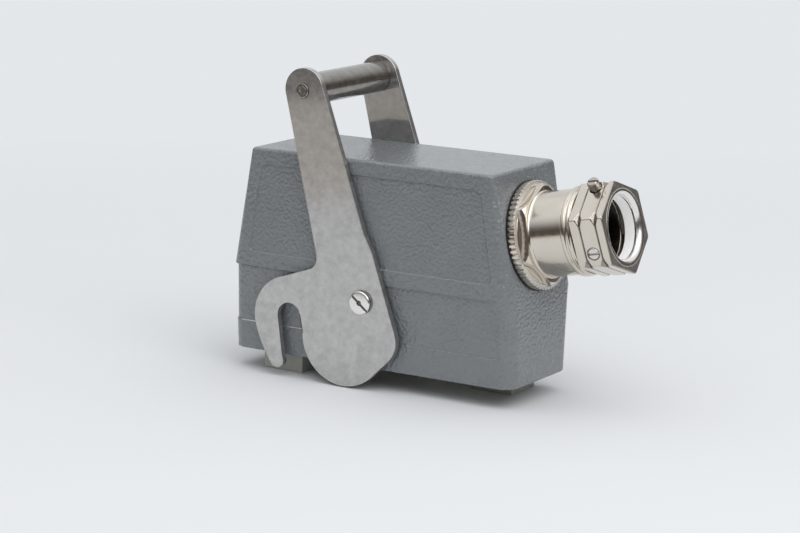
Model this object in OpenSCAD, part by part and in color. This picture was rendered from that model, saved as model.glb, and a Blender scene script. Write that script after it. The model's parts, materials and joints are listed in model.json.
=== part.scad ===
// Side-entry hood of a heavy duty rectangular connector, with its locking lever,
// its cable gland and the contact insert that is screwed inside it.
// Millimetres. X runs along the hood towards the cable gland, Y across it, Z up.
// The origin is the centre of the rim plane, where the hood meets its mating housing.

/* [Hood] */
// Length of the hood at its rim
hood_l = 120; // [118:1:136]
// Width of the hood at its rim
hood_w = 43; // [42:0.5:52]
// Height of the straight skirt
skirt_h = 31.8; // [31:0.2:36]
// Full height of the hood
hood_h = 76.4; // [75:0.2:90]
// Wall thickness of the casting
wall = 3; // [2.2:0.1:3.6]
// How far the long sides spread outwards from the rim to the upper body
side_flare = 1.5; // [0.8:0.1:2.5]
// How far the upper body overhangs the skirt
step_out = 0.6; // [0.4:0.1:0.8]
// Lean of the two end walls from upright, in degrees
end_lean = 11.3; // [8:0.1:12.5]
// Outside radius of the upright corners at the rim
corner_r = 6; // [5:0.5:8]
// Outside radius of the upright corners at the top
crown_r = 2; // [1.5:0.1:4]
// Height of the thicker band along the rim
band_h = 10.9; // [8:0.1:13]
// How far that band stands out from the skirt
band_out = 0.25; // [0.2:0.05:0.35]
// Depth of the shallow panel in each long side
panel_depth = 0.5; // [0.3:0.1:0.8]
// Height of the border below the panel
panel_low = 5.9; // [5:0.1:9]
// Height of the border above the panel
panel_high = 6; // [4:0.1:8]
// Width of the border at each end of the panel's upper edge
panel_end = 6.1; // [6:0.1:10]

/* [Lever] */
// Height of the lever pivot above the rim
pivot_z = 25.2; // [24:0.2:27]
// Distance from the pivot to the handle bar
lever_arm = 79; // [78:0.5:95]
// Tilt of the lever from upright, away from the gland, in degrees
lever_tilt = 19.5; // [0:0.5:60]
// Thickness of the lever plates
plate_t = 2.5; // [2:0.1:3]
// Gap between the hood's side and a lever plate
plate_gap = 0.7; // [0.5:0.1:1.2]
// Radius of the eye at the top of a lever plate
eye_r = 8.1; // [7.5:0.1:9]
// Half width of the lever arm at the hook
arm_r = 10.2; // [9:0.1:11]
// Radius from the pivot to the locked mating peg
peg_reach = 32.7; // [31:0.1:34]
// Width of the hook's slot
slot_w = 10; // [9:0.2:11]
// Outer radius of the hook about the pivot
hook_r = 48.2; // [46.5:0.1:50]
// Radius of the rounded lobe opposite the hook
lobe_r = 17.8; // [16.5:0.1:18.2]
// Diameter of the handle bar
bar_d = 11.6; // [9:0.1:12]
// Diameter of the rod riveted through the bar
rivet_d = 5.4; // [4:0.1:7]
// Diameter of the shoulder that the lever turns on
shoulder_d = 7; // [6:0.1:8]
// Diameter of the pivot screw's head
pivot_head_d = 9.6; // [9:0.1:12]
// Thickness of the pivot screw's head
pivot_head_t = 1.5; // [1.2:0.1:2]
// Diameter of the pivot screw's thread
pivot_thread_d = 5; // [4:0.1:5.6]

/* [Insert] */
// Gap between the insert's flange and the hood's inner walls
insert_gap = 1.5; // [1:0.1:2]
// Thickness of the insert's flange
flange_t = 3; // [2.5:0.1:4]
// Height of the insert's seat above the rim
seat_z = 14; // [13:0.2:16]
// Distance from a fixing screw to the flange's edges
screw_edge = 3.5; // [3:0.1:4]
// Diameter of the fixing screws
screw_d = 4; // [3:0.1:4]
// How far the insert's body stops short of the flange's ends
body_inset = 7.1; // [6.8:0.1:8.5]
// Length of one guide tower
tower_l = 17; // [14:0.5:19]
// How far the guide towers reach below the rim
tower_drop = 7.4; // [7.1:0.1:10]
// Height of the contact face above the rim
face_z = 6; // [4:0.2:8]
// Number of contacts in one row
contacts = 12; // [8:1:14]
// Distance between neighbouring contacts
contact_p = 4.8; // [4.4:0.1:5]
// Distance between the two contact rows
row_p = 14; // [12:0.5:16]
// Diameter of a contact's hole
contact_d = 2.9; // [2:0.1:3.2]
// How far the block behind the flange stops short of the flange's sides
rear_inset = 4.5; // [3.5:0.1:5]
// Height of the block behind the flange
rear_h = 14; // [12:0.5:16]

/* [Gland] */
// Depth of the gland's centre below the hood's top, on the face of the end wall
gland_drop = 24.1; // [22:0.1:25]
// Diameter of the gland's thread
thread_d = 28; // [27:0.1:29]
// Wall between the gland's thread and its bore
thread_wall = 1.4; // [1.2:0.1:2]
// Thickness of the gasket under the gland
gasket_t = 0.6; // [0.4:0.1:1]
// Width of the knurled ring, from the thread to its rim
ring_w = 5.6; // [5:0.1:6]
// Thickness of the knurled ring
ring_t = 2.7; // [2.4:0.1:3.5]
// Number of teeth round the knurled ring
teeth = 60; // [40:1:72]
// How far the flats of the gland's hexagon stand out from the thread
hex_out = 2; // [1.5:0.1:2.5]
// Thickness of the gland's hexagon
hex_t = 3; // [2.5:0.1:4]
// How far the plain barrel stands out from the thread
barrel_out = 1.3; // [1:0.1:1.6]
// Length of the plain barrel, from the hexagon
barrel_l = 13; // [11:0.5:18]
// Length of the grooved collar
collar_l = 4; // [3.6:0.1:6]
// How far the flats of the clamp's hexagons stand out from the thread
clamp_out = 1; // [0.8:0.1:1.3]
// Length of the first clamp hexagon
clamp_l = 3.9; // [3.6:0.1:6]
// Length of the band that holds the clamp screws
band_l = 6.3; // [6:0.1:9]
// Length of the end nut
nut_l = 3.2; // [2.8:0.1:5]
// Chamfer on the corners of the clamp hexagons
clamp_chamfer = 1.5; // [1:0.1:1.5]
// Diameter of the clamp screws
clamp_screw_d = 4.2; // [3.6:0.1:4.6]
// Length of the clamp screws
clamp_screw_l = 4.2; // [4:0.1:4.4]
// Turn of the gland's hexagon about its axis, in degrees
hex_turn = -7; // [-30:1:30]
// Turn of the clamp's hexagons about their axis, in degrees
clamp_turn = 10.6; // [-30:0.1:30]
// Wall of the rubber seal, which sets the cable that it fits
seal_wall = 3.1; // [2.6:0.1:5]

/* [Hidden] */
$fn = 64;

// Clearances
fit = 0.05;          // round a turning shaft or a thread in its hole
slip = 0.1;          // between parts that slide past each other
past = 1;            // how far a cutter runs past the face that it cuts
round_lap = 0.003;   // how far a leaning corner's round passes the flat sides

// Hood
upper_w = hood_w + 2 * side_flare;
upper_h = hood_h - skirt_h;
inner_l = hood_l - 2 * wall;
inner_w = hood_w - 2 * wall;
inner_r = max(corner_r - wall, 1);
waist_r = corner_r - 1;                    // corners at the foot of the upper body
skirt_r = waist_r + 0.5;                   // corners at the head of the skirt, just behind those
lean_in = upper_h * tan(end_lean);
foot_in = band_out - (step_out - band_out) * band_h / (skirt_h - band_h);
relief_end = hood_l / 2 - 4;               // where the skirt's relief runs out, before the gland's end
relief_run = 6;                            // length over which it runs out
panel_splay = 1.2;                         // how much wider the end borders are at the panel's foot
boss_r = 8;                                // round pad under each lever plate
boss_in = 3;                               // how far that pad reaches inside
post_r = 5;                                // post that takes an insert screw
post_h = 16;
tap_depth = 9;

// Lever
plate_in = upper_w / 2 + plate_gap;        // inner face of a lever plate
plate_out = plate_in + plate_t;
washer_t = plate_gap - slip;
washer_r = 6.5;
slot_r = slot_w / 2;
tip_r = 3;                                 // round tip of the hook
tip_angle = 196.2;                         // where the tip lies round the pivot
lobe_c = [-12, -11];                       // centre of the lobe
heel_c = [0.2, -14];                       // centre of the rounded heel
heel_r = 10;
hook_c = [-peg_reach + 0.2, 1];            // centre of the hook's round back
hook_back_r = hook_r + hook_c[0];
slot_c = [-peg_reach, 1.7];                // where the mating peg ends up
neck_v = hook_c[1] + hook_back_r - 0.2;    // straight upper edge of the hook
neck_fillet = 4.8;
bar_end = 0.6;                             // chamfer on the handle bar's ends
rivet_head = 0.5;                          // how far the rivet stands proud

// Insert
flange_l = inner_l - 2 * insert_gap;
flange_w = inner_w - 2 * insert_gap;
screw_px = flange_l - 2 * screw_edge;
screw_py = flange_w - 2 * screw_edge;
body_l = flange_l - 2 * body_inset;
rear_w = flange_w - 2 * rear_inset;
screw_head_r = 3.6;
screw_head_t = 2.4;
screw_relief = 0.6;                        // clear space round a screw's head
rear_plate_t = 2.5;
earth_l = 9;                               // earth terminal block
earth_w = 12;
earth_h = 8;
earth_x = body_l / 2 - earth_l / 2 - 2;

// Gland, measured along its own axis from the end wall's face
gland_z = hood_h - gland_drop;
bore_d = thread_d - 2 * thread_wall;
ring_d = thread_d + 2 * ring_w;
hex_af = thread_d + 2 * hex_out;
barrel_d = thread_d + 2 * barrel_out;
clamp_af = thread_d + 2 * clamp_out;
cable_d = bore_d - 2 * seal_wall;
gland_x = hood_l / 2 - (gland_z - skirt_h) * tan(end_lean);
ring_s = gasket_t;
hex_s = ring_s + ring_t;
barrel_s = hex_s + hex_t;
collar_s = barrel_s + barrel_l;
clamp_s = collar_s + collar_l;
band_s = clamp_s + clamp_l;
nut_s = band_s + band_l;
end_s = nut_s + nut_l;
ring_tooth = 0.7;
ring_lip = 1.3;                            // between the teeth and the dished front
ring_dish = 0.8;
locknut_t = 4;
locknut_af = thread_d + 5;
spot_depth = 0.2;                          // machined seat for the lock nut, inside the end wall
seat_s = spot_depth - wall;
thread_l = wall + locknut_t + 2;           // thread inside the hood, from the outer face
spigot_d = thread_d;                       // tube that carries the collar and the clamp
seal_s = 1;
seal_l = collar_s - seal_s - 1.3;
washer_lip = 1.1;                          // width of the washer behind the seal
washer_h = 0.8;
seal_mouth = 2;                            // depth of the seal's flared mouth
jaw_l = 4.6;
jaw_in = bore_d / 2 - 1.5;                 // from the axis to a loose jaw's flat face
jaw_s = nut_s - jaw_l - slip;
screw_s = band_s + band_l / 2;
spigot_end = screw_s - clamp_screw_d / 2 - 0.3;
top_flat = 120 + clamp_turn;               // direction of the flat with the upper screw
side_flat = 180 + clamp_turn;
top_shift = -5.8;                          // screw's place across its flat
side_shift = 4;
top_proud = 3.6;                           // how far each clamp screw stands proud
side_proud = 0.2;

// ---- Shapes shared by several parts ----

// Rectangle with round corners
module rounded_rect(l, w, r) {
    square([l - 2 * r, w], center = true);
    square([l, w - 2 * r], center = true);
    for (x = [-1, 1], y = [-1, 1])
        translate([x * (l / 2 - r), y * (w / 2 - r)]) circle(r = r);
}

// Vector helpers
function unit(v) = v / norm(v);
function across(v, axis) = unit(v - (v * axis) * axis);

// Block from a foot [length, width] up to a head [length, width], with corners that run
// from one radius to another as leaning cones
module drafted_block(foot, head, h, foot_r, head_r) {
    end_a = atan((foot[0] - head[0]) / 2 / h);
    side_a = atan((foot[1] - head[1]) / 2 / h);
    end_n = [cos(end_a), 0, sin(end_a)];
    side_n = [0, cos(side_a), sin(side_a)];
    low = [foot[0] / 2 - foot_r / cos(end_a), foot[1] / 2 - foot_r / cos(side_a), 0];
    high = [head[0] / 2 - head_r / cos(end_a), head[1] / 2 - head_r / cos(side_a), h];
    axis = unit(high - low);
    run = norm(high - low);
    taper = asin((foot_r - head_r) / run);
    out_x = across(end_n, axis);
    out_y = across(side_n, axis);
    turn_y = cross(axis, out_x);
    spread = acos(out_x * out_y);
    over = 4;
    swell = (over + past) * sin(taper);
    reach = 3 * max(foot_r, head_r);
    difference() {
        intersection() {
            rotate([90, 0, 0])
                linear_extrude(max(foot[1], head[1]), center = true)
                    polygon([[-foot[0] / 2, 0], [foot[0] / 2, 0], [head[0] / 2, h], [-head[0] / 2, h]]);
            rotate([90, 0, 90])
                linear_extrude(max(foot[0], head[0]), center = true)
                    polygon([[-foot[1] / 2, 0], [foot[1] / 2, 0], [head[1] / 2, h], [-head[1] / 2, h]]);
        }
        for (mx = [0, 1], my = [0, 1])
            mirror([mx, 0, 0])
                mirror([0, my, 0])
                    translate(low)
                        multmatrix([for (i = [0 : 2]) [out_x[i], turn_y[i], axis[i], 0]])
                            difference() {
                                translate([0, 0, -over])
                                    linear_extrude(run + 2 * over)
                                        polygon([[0, 0], [reach, 0], [reach, reach],
                                                 reach * [cos(spread), sin(spread)]]);
                                translate([0, 0, -over - past])
                                    cylinder(r1 = (foot_r + swell) / cos(taper) + round_lap,
                                             r2 = (head_r - swell) / cos(taper) + round_lap,
                                             h = run + 2 * (over + past));
                            }
    }
}

// Places its children on the gland's axis, at a distance from the end wall's face
module on_gland(s = 0) {
    translate([gland_x, 0, gland_z])
        rotate([0, 90 - end_lean, 0])
            translate([0, 0, s]) children();
}

// Hexagonal bar with its corners turned down at either end
module hex_bar(af, l, low, high) {
    r = af / sqrt(3);
    intersection() {
        cylinder(r = r, h = l, $fn = 6);
        union() {
            cylinder(r1 = r - low, r2 = r, h = low);
            translate([0, 0, low]) cylinder(r = r + past, h = l - low - high);
            translate([0, 0, l - high]) cylinder(r1 = r, r2 = r - high, h = high);
        }
    }
}

// Places its children on the four fixing screws of the insert
module at_insert_screws() {
    for (x = [-1, 1], y = [-1, 1])
        translate([x * screw_px / 2, y * screw_py / 2, 0]) children();
}

// Places its children at a pivot, with Z pointing out of the hood; side is -1 or 1
module at_pivot(side) {
    translate([0, 0, pivot_z]) rotate([-90 * side, 0, 0]) children();
}

// ---- Hood ----

// Part of the skirt that keeps its full spread: the band and the gland's end
module skirt_full_zone() {
    turn = atan(step_out / relief_run);
    translate([-hood_l, -hood_w, -past]) cube([2 * hood_l, 2 * hood_w, band_h + past]);
    for (my = [0, 1])
        mirror([0, my, 0])
            translate([relief_end, hood_w / 2, 0])
                rotate([-atan(side_flare / skirt_h), 0, 0])
                    rotate([0, 0, turn])
                        translate([-hood_l / 4, -0.7 * hood_w, -2 * past])
                            cube([hood_l / 2, 0.7 * hood_w, skirt_h + 4 * past]);
}

module skirt() {
    intersection() {
        drafted_block([hood_l, hood_w], [hood_l, upper_w], skirt_h, corner_r, skirt_r);
        union() {
            skirt_full_zone();
            drafted_block([hood_l - 2 * foot_in, hood_w - 2 * foot_in],
                          [hood_l - 2 * step_out, upper_w - 2 * step_out], skirt_h, corner_r, skirt_r);
        }
    }
}

module hood_outside() {
    skirt();
    translate([0, 0, skirt_h])
        drafted_block([hood_l, upper_w], [hood_l - 2 * lean_in, upper_w], upper_h, waist_r, crown_r);
    for (side = [-1, 1]) at_pivot(side) cylinder(r = boss_r, h = upper_w / 2);
}

module hood_inside() {
    space = hood_l - 2 * wall / cos(end_lean) - 2 * wall * tan(end_lean);
    space_h = upper_h - 2 * wall;
    translate([0, 0, -past])
        linear_extrude(skirt_h + wall + 2 * past) rounded_rect(inner_l - 1, inner_w, inner_r);
    translate([0, 0, skirt_h + wall])
        drafted_block([space, upper_w - 2 * wall],
                      [space - 2 * space_h * tan(end_lean), upper_w - 2 * wall],
                      space_h, inner_r, crown_r);
}

// Corner posts that take the insert's screws, and the pads behind the pivots
module hood_posts() {
    post_run = (hood_l - screw_px) / 2 - wall / 2;
    post_side = (hood_w - screw_py) / 2 - wall / 2;
    for (x = [-1, 1], y = [-1, 1])
        translate([x * screw_px / 2, y * screw_py / 2, seat_z]) {
            cylinder(r = post_r, h = post_h);
            translate([x > 0 ? 0 : -post_run, -post_r, 0]) cube([post_run, 2 * post_r, post_h]);
            translate([-post_r, y > 0 ? 0 : -post_side, 0]) cube([2 * post_r, post_side, post_h]);
        }
    for (side = [-1, 1])
        at_pivot(side)
            translate([0, 0, inner_w / 2 - boss_in]) cylinder(r = boss_r - 2, h = boss_in + past);
}

// Shallow panel in one long side, with ends that follow the lean of the end walls
module side_panel(side) {
    low = skirt_h + panel_low;
    high = hood_h - panel_high;
    low_x = hood_l / 2 - panel_low * tan(end_lean) - panel_end - panel_splay;
    high_x = hood_l / 2 - (high - skirt_h) * tan(end_lean) - panel_end;
    translate([0, side * (upper_w / 2 + past) + (side > 0 ? 0 : past + panel_depth), 0])
        rotate([90, 0, 0])
            linear_extrude(past + panel_depth)
                polygon([[-low_x, low], [low_x, low], [high_x, high], [-high_x, high]]);
}

module hood_shell() {
    color("slategray")
    difference() {
        union() {
            difference() {
                hood_outside();
                hood_inside();
            }
            intersection() {
                hood_posts();
                hood_outside();
            }
        }
        for (side = [-1, 1]) side_panel(side);
        for (side = [-1, 1])
            at_pivot(side) cylinder(r = pivot_thread_d / 2 + fit, h = upper_w);
        translate([0, 0, seat_z - past])
            at_insert_screws() cylinder(r = screw_d / 2 + fit, h = tap_depth + past);
        on_gland(-thread_l - past) cylinder(r = thread_d / 2 + slip, h = thread_l + 2 * past);
        on_gland(-thread_l) cylinder(r = locknut_af / sqrt(3) + 2 * slip, h = thread_l + seat_s);
    }
}

// ---- Contact insert ----

// Guide tower under one end of the insert; the two are keyed to opposite sides
module guide_tower(end) {
    x = end > 0 ? body_l / 2 - tower_l : -body_l / 2;
    y = end > 0 ? 0 : -flange_w / 2;
    translate([x, y, -tower_drop]) cube([tower_l, flange_w / 2, tower_drop + face_z + past]);
}

module contact_holes(low, high) {
    for (i = [0 : contacts - 1], y = [-1, 1])
        translate([(i - (contacts - 1) / 2) * contact_p, y * row_p / 2, low])
            cylinder(d = contact_d, h = high - low, $fn = 24);
}

module insert_body() {
    flange_z = seat_z - flange_t;
    rear_l = 2 * (earth_x - earth_l / 2 - 1);
    color("gainsboro")
    difference() {
        union() {
            translate([-flange_l / 2, -flange_w / 2, flange_z]) cube([flange_l, flange_w, flange_t]);
            translate([-body_l / 2, -flange_w / 2, face_z]) cube([body_l, flange_w, flange_z - face_z]);
            for (end = [-1, 1]) guide_tower(end);
            translate([-rear_l / 2, -rear_w / 2, seat_z]) cube([rear_l, rear_w, rear_h]);
        }
        at_insert_screws() {
            translate([0, 0, flange_z - past])
                cylinder(r = screw_d / 2 + 3 * fit, h = flange_t + 2 * past);
            translate([0, 0, -tower_drop - past])
                cylinder(r = screw_head_r + screw_relief, h = tower_drop + flange_z + past);
        }
        contact_holes(face_z - past, seat_z + rear_h + past);
        for (end = [-1, 1])
            translate([end * earth_x, 0, face_z - past])
                cylinder(d = contact_d, h = seat_z - face_z + 2 * past, $fn = 24);
    }
}

// Plate that keeps the contacts in the block
module insert_rear_plate() {
    rear_l = 2 * (earth_x - earth_l / 2 - 1);
    color("dimgray")
    difference() {
        translate([-rear_l / 2, -rear_w / 2, seat_z + rear_h]) cube([rear_l, rear_w, rear_plate_t]);
        contact_holes(seat_z + rear_h - past, seat_z + rear_h + rear_plate_t + past);
    }
}

module insert_screws() {
    flange_z = seat_z - flange_t;
    color("silver")
    at_insert_screws() {
        difference() {
            translate([0, 0, flange_z - screw_head_t]) cylinder(r = screw_head_r, h = screw_head_t);
            translate([-screw_head_r - past, -0.5, flange_z - screw_head_t - past])
                cube([2 * (screw_head_r + past), 1, past + 1.2]);
        }
        translate([0, 0, flange_z - 0.1]) cylinder(d = screw_d, h = flange_t + tap_depth - past);
    }
}

// Earth terminal blocks, one at each end behind the flange
module earth_terminals() {
    color("silver")
    for (end = [-1, 1])
        translate([end * earth_x, 0, seat_z])
            difference() {
                translate([-earth_l / 2, -earth_w / 2, 0]) cube([earth_l, earth_w, earth_h]);
                translate([0, 0, earth_h - 5]) cylinder(d = 3.5 + 2 * fit, h = 5 + past);
                translate([0, earth_w / 2 + past, 2.2])
                    rotate([90, 0, 0]) cylinder(d = 2.4, h = earth_w + 2 * past, $fn = 24);
            }
}

module earth_screws() {
    color("goldenrod")
    for (end = [-1, 1])
        translate([end * earth_x, 0, seat_z + earth_h])
            difference() {
                union() {
                    cylinder(d = 6, h = 2);
                    translate([0, 0, -4.5]) cylinder(d = 3.5, h = 4.6);
                }
                translate([-4, -0.5, 1.1]) cube([8, 1, 2]);
            }
}

// ---- Locking lever ----

// Point at an angle and a distance from the pivot
function polar(r, a) = [r * cos(a), r * sin(a)];

// Direction of the outer tangent's normal, for the lower side of two circles
function tangent_angle(c1, r1, c2, r2) =
    atan2(c2[1] - c1[1], c2[0] - c1[0]) - acos((r1 - r2) / norm(c2 - c1));

module hook_leg() {
    tip_c = polar(hook_r - tip_r, tip_angle);
    outward = tip_angle - 180;
    intersection() {
        circle(r = hook_r, $fn = 128);
        polygon([[-peg_reach, hook_c[1]], [-hook_r - past, hook_c[1]],
                 tip_c + polar(tip_r + 3 * past, tip_angle), tip_c - polar(tip_r, tip_angle)]);
    }
    translate(tip_c) circle(r = tip_r);
}

// The slot that draws the mating peg in as the lever turns
module hook_slot() {
    tip_c = polar(hook_r - tip_r, tip_angle);
    translate(slot_c) circle(r = slot_r);
    polygon([slot_c + [slot_r, 0], slot_c - [slot_r, 0], tip_c - polar(tip_r, tip_angle),
             tip_c + [3, -30], [0, -45], lobe_c + [0, -past]]);
}

module lever_lobe() {
    a = tangent_angle(lobe_c, lobe_r, heel_c, heel_r);
    translate(lobe_c) circle(r = lobe_r, $fn = 96);
    translate(heel_c) circle(r = heel_r);
    polygon([lobe_c, lobe_c + polar(lobe_r, a), heel_c + polar(heel_r, a), heel_c,
             [arm_r, heel_c[1]], [arm_r, 0], [lobe_c[0] - 10, 0]]);
}

// Concave fillet between the hook's upper edge and the arm
module neck_corner(arm_left) {
    fillet_c = [arm_left - neck_fillet + 0.3, neck_v + neck_fillet];
    difference() {
        translate([fillet_c[0], neck_v - past]) square([neck_fillet + past, neck_fillet + past]);
        translate(fillet_c) circle(r = neck_fillet + 0.1);
    }
}

module plate_slab() {
    linear_extrude(plate_t) children();
}

// Lever plate about the pivot, lying flat, with the handle's end straight above it
module flat_lever_plate() {
    eye_c = [0.6, lever_arm];
    arm_left = -13.9;
    difference() {
        union() {
            plate_slab() translate(eye_c) circle(r = eye_r);
            plate_slab()
                polygon([[eye_c[0] - eye_r, lever_arm], [arm_left, neck_v], [arm_left, 0], [arm_r, 0],
                         [arm_r, neck_v], [arm_r - 1.2, neck_v + 7], [eye_c[0] + eye_r, lever_arm]]);
            plate_slab() neck_corner(arm_left);
            difference() {
                union() {
                    plate_slab() translate(hook_c) circle(r = hook_back_r, $fn = 96);
                    plate_slab() hook_leg();
                    plate_slab()
                        polygon([[hook_c[0], neck_v], [-past, neck_v], [-past, lobe_c[1]], lobe_c,
                                 [-peg_reach + slot_r, hook_c[1]]]);
                }
                translate([0, 0, -past]) linear_extrude(plate_t + 2 * past) hook_slot();
            }
            plate_slab() lever_lobe();
        }
        translate([0, 0, -past]) cylinder(d = shoulder_d + 2 * fit, h = plate_t + 2 * past);
        translate([0, lever_arm, -past]) cylinder(d = rivet_d + 2 * fit, h = plate_t + 2 * past);
    }
}

// Turns its children with the lever about the pivot
module with_lever() {
    translate([0, 0, pivot_z]) rotate([0, -lever_tilt, 0]) children();
}

module lever_plate(outer_y) {
    with_lever()
        translate([0, outer_y, 0])
            rotate([90, 0, 0]) flat_lever_plate();
}

module lever_plate_near() {
    color("lightgray") lever_plate(-plate_in);
}

module lever_plate_far() {
    color("lightgray") lever_plate(plate_out);
}

module handle_bar() {
    color("silver")
    with_lever()
        translate([0, plate_in, lever_arm])
            rotate([90, 0, 0])
                difference() {
                    union() {
                        cylinder(d1 = bar_d - 2 * bar_end, d2 = bar_d, h = bar_end);
                        translate([0, 0, bar_end]) cylinder(d = bar_d, h = 2 * (plate_in - bar_end));
                        translate([0, 0, 2 * plate_in - bar_end])
                            cylinder(d1 = bar_d, d2 = bar_d - 2 * bar_end, h = bar_end);
                    }
                    translate([0, 0, -past]) cylinder(d = rivet_d + 2 * fit, h = 2 * (plate_in + past));
                }
}

// Rod riveted over at both ends, which ties the plates and the bar together
module handle_rivet() {
    color("gray")
    with_lever()
        translate([0, plate_out + rivet_head, lever_arm])
            rotate([90, 0, 0])
                cylinder(d = rivet_d, h = 2 * (plate_out + rivet_head));
}

module pivot_screws() {
    head_y = plate_out + slip;
    color("silver")
    for (side = [-1, 1])
        at_pivot(side)
            difference() {
                union() {
                    translate([0, 0, head_y]) cylinder(d = pivot_head_d, h = pivot_head_t);
                    translate([0, 0, upper_w / 2]) cylinder(d = shoulder_d, h = head_y - upper_w / 2 + fit);
                    translate([0, 0, inner_w / 2 - boss_in + 1])
                        cylinder(d = pivot_thread_d, h = side_flare + wall + boss_in);
                }
                rotate([0, 0, side < 0 ? 35 : -35])
                    translate([-pivot_head_d, -0.6, head_y + pivot_head_t - 0.7])
                        cube([2 * pivot_head_d, 1.2, past + 0.7]);
            }
}

module pivot_washers() {
    color("darkgray")
    for (side = [-1, 1])
        at_pivot(side)
            translate([0, 0, upper_w / 2])
                difference() {
                    cylinder(r = washer_r, h = washer_t);
                    translate([0, 0, -past]) cylinder(d = shoulder_d + 2 * fit, h = washer_t + 2 * past);
                }
}

// ---- Cable gland ----

module gland_gasket() {
    color("black")
    on_gland()
        difference() {
            cylinder(d = ring_d + 0.4, h = gasket_t);
            translate([0, 0, -past]) cylinder(d = thread_d + 2 * slip, h = gasket_t + 2 * past);
        }
}

// Ring with straight teeth round its rim and a shallow dished front
module knurled_ring() {
    color("silver")
    on_gland(ring_s)
        difference() {
            cylinder(d = ring_d, h = ring_t, $fn = 96);
            translate([0, 0, -past]) cylinder(d = thread_d + 2 * slip, h = ring_t + 2 * past);
            translate([0, 0, ring_t - ring_dish])
                cylinder(d = ring_d - 2 * (ring_tooth + ring_lip), h = ring_dish + past);
            for (i = [0 : teeth - 1])
                rotate([0, 0, i * 360 / teeth])
                    translate([ring_d / 2, 0, ring_t / 2])
                        rotate([0, 0, 45])
                            cube([ring_tooth, ring_tooth, ring_t + 2 * past], center = true);
        }
}

// Thread, hexagon, barrel and spigot, all turned from one piece
module gland_body() {
    root = hex_out - barrel_out - slip;        // small cone where the barrel meets the hexagon
    color("silver")
    difference() {
        union() {
            on_gland(-thread_l) cylinder(d = thread_d, h = thread_l + hex_s + past);
            on_gland(hex_s - ring_dish)
                cylinder(d = ring_d - 2 * (ring_tooth + ring_lip + slip), h = ring_dish);
            on_gland(hex_s) rotate([0, 0, hex_turn]) hex_bar(hex_af, hex_t, 0.4, 1.2);
            on_gland(barrel_s - past) cylinder(d = barrel_d, h = barrel_l + past);
            on_gland(barrel_s) cylinder(d1 = barrel_d + 2 * root, d2 = barrel_d, h = root);
            on_gland(collar_s - past) cylinder(d = spigot_d, h = spigot_end - collar_s + past);
        }
        on_gland(-thread_l - past) cylinder(d = bore_d, h = thread_l + spigot_end + 2 * past);
    }
}

module gland_locknut() {
    color("silver")
    on_gland(seat_s - locknut_t - slip)
        difference() {
            rotate([0, 0, 30]) hex_bar(locknut_af, locknut_t, 1, 1);
            translate([0, 0, -past]) cylinder(d = thread_d + 2 * fit, h = locknut_t + 2 * past);
        }
}

// Turned collar with two grooves
module gland_collar() {
    groove = 0.5;
    collar_r = barrel_d / 2 + 0.7;
    bead = collar_l - 2.2;
    color("silver")
    on_gland(collar_s)
        rotate_extrude()
            polygon([[spigot_d / 2 + fit, 0], [collar_r - 0.5, 0], [collar_r, 0.5], [collar_r, bead - 0.2],
                     [collar_r - groove, bead], [collar_r - groove, bead + 0.6],
                     [collar_r - 0.1, bead + 0.8], [collar_r - 0.1, collar_l - 0.8],
                     [collar_r - groove, collar_l - 0.6], [collar_r - groove, collar_l],
                     [spigot_d / 2 + fit, collar_l]]);
}

module clamp_hex() {
    color("silver")
    on_gland(clamp_s)
        difference() {
            rotate([0, 0, clamp_turn]) hex_bar(clamp_af, clamp_l, 0.5, clamp_chamfer);
            translate([0, 0, -past]) cylinder(d = spigot_d + 2 * fit, h = clamp_l + 2 * past);
        }
}

// Places its children on a clamp screw's axis, with Z pointing out of the flat
module at_clamp_screw(flat, shift) {
    on_gland(screw_s)
        rotate([0, 0, flat + 90])
            translate([0, shift, 0])
                rotate([0, 90, 0]) children();
}

module clamp_band() {
    color("silver")
    difference() {
        on_gland(band_s) rotate([0, 0, clamp_turn]) hex_bar(clamp_af, band_l, clamp_chamfer, clamp_chamfer);
        on_gland(band_s - past) cylinder(d = bore_d, h = band_l + 2 * past);
        on_gland(band_s - past) cylinder(d = spigot_d + 2 * fit, h = spigot_end - band_s + past + slip);
        at_clamp_screw(top_flat, top_shift) cylinder(d = clamp_screw_d + 2 * fit, h = clamp_af);
        at_clamp_screw(side_flat, side_shift) cylinder(d = clamp_screw_d + 2 * fit, h = clamp_af);
    }
}

// Slotted headless screw, standing proud of its flat by a given height
module clamp_screw(flat, shift, proud) {
    top = clamp_af / 2 + proud;
    color("lightgray")
    at_clamp_screw(flat, shift)
        difference() {
            union() {
                translate([0, 0, top - clamp_screw_l])
                    cylinder(d = clamp_screw_d, h = clamp_screw_l - 0.3);
                translate([0, 0, top - 0.3])
                    cylinder(d1 = clamp_screw_d, d2 = clamp_screw_d - 0.6, h = 0.3);
            }
            translate([-clamp_screw_d, -0.35, top - 1]) cube([2 * clamp_screw_d, 0.7, 1 + past]);
        }
}

module clamp_screw_top() {
    clamp_screw(top_flat, top_shift, top_proud);
}

module clamp_screw_side() {
    clamp_screw(side_flat, side_shift, side_proud);
}

// Segment that lies against the wall of the bore, inside the band
module jaw(direction) {
    jaw_r = bore_d / 2 - fit;
    rotate([0, 0, direction + 90])
        intersection() {
            cylinder(r = jaw_r, h = jaw_l);
            translate([jaw_in, -jaw_r, -past]) cube([jaw_r, 2 * jaw_r, jaw_l + 2 * past]);
        }
}

// Jaws that the screws press on the cable; the side screw has pressed its own jaw in
module clamp_jaws() {
    back = side_shift - clamp_screw_d / 2;
    pressed = sqrt(pow(bore_d / 2, 2) - pow(back, 2)) - (clamp_af / 2 + side_proud - clamp_screw_l);
    color("burlywood")
    on_gland(jaw_s) {
        jaw(top_flat - 29);
        jaw(top_flat - 120);
        rotate([0, 0, side_flat + 90])
            translate([-pressed, 0, 0])
                rotate([0, 0, -side_flat - 90]) jaw(side_flat + 20);
    }
}

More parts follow.
